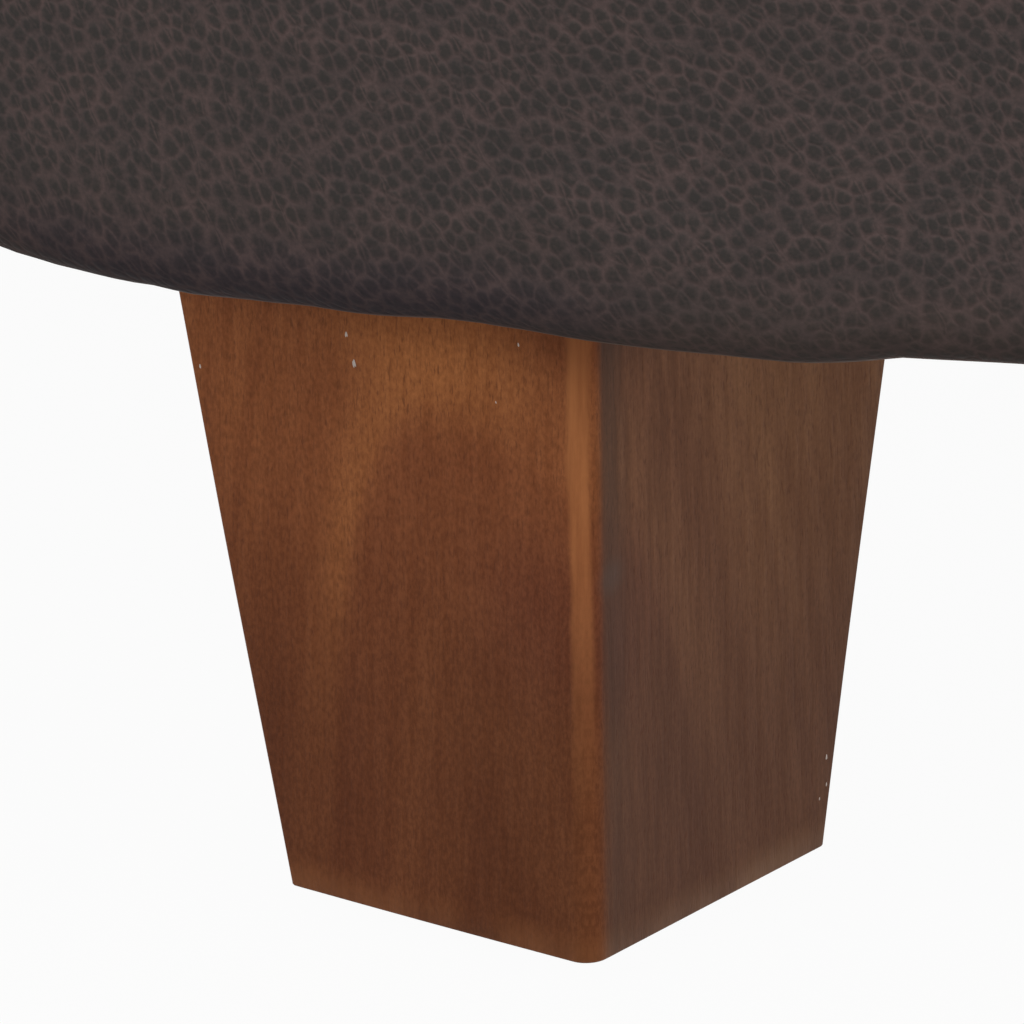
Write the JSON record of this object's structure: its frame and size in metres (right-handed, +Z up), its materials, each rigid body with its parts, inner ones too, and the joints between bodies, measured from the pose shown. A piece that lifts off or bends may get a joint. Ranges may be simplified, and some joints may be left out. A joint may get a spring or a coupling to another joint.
{
  "type": "ottoman coffee table",
  "caption": "Round padded ottoman coffee table in dark pebble-grain faux leather with a piped, crowned top, on stout tapered square wooden legs.",
  "frame": {"origin": "on the floor under the middle of the drum", "axes": "+Z up; +X and +Y lie between neighbouring legs, so each leg stands on a diagonal, with -Y as the front"},
  "size_m": [0.75, 0.75, 0.45],
  "materials": {
    "stained_wood": "solid hardwood, reddish walnut stain under a thin satin lacquer, grain running down the leg",
    "pine": "planed unfinished pine",
    "plywood": "unfinished plywood",
    "fibreboard": "thin hardboard bent to a ring",
    "foam": "open-cell polyurethane foam, cream",
    "fibre": "white polyester fibre wadding",
    "faux_leather": "espresso brown bonded faux leather with a fine pebble grain and a low satin sheen",
    "dust_cloth": "black spun-bonded polypropylene cloth",
    "glide_plastic": "dark brown moulded plastic",
    "nail_steel": "plain steel nail",
    "zinc_steel": "zinc-plated steel",
    "screw_steel": "yellow-passivated steel"
  },
  "bodies": {
    "root": {"base_panel": "plywood", "base_screws": "screw_steel", "cover_side": "faux_leather", "cover_top": "faux_leather", "cross_rib_lower": "plywood", "cross_rib_upper": "plywood", "deck_panel": "plywood", "deck_screws": "screw_steel", "dust_cover": "dust_cloth", "fibre_wrap": "fibre", "glide_nails": "nail_steel", "glides": "glide_plastic", "hanger_bolts": "zinc_steel", "leg_block_front_left": "pine", "leg_block_front_right": "pine", "leg_block_rear_left": "pine", "leg_block_rear_right": "pine", "leg_front_left": "stained_wood", "leg_front_right": "stained_wood", "leg_rear_left": "stained_wood", "leg_rear_right": "stained_wood", "post_1": "pine", "post_2": "pine", "post_3": "pine", "post_4": "pine", "post_5": "pine", "post_6": "pine", "post_7": "pine", "post_8": "pine", "side_board": "fibreboard", "side_foam": "foam", "tee_nuts": "zinc_steel", "top_foam": "foam", "welt": "faux_leather"}
  },
  "joints": []
}
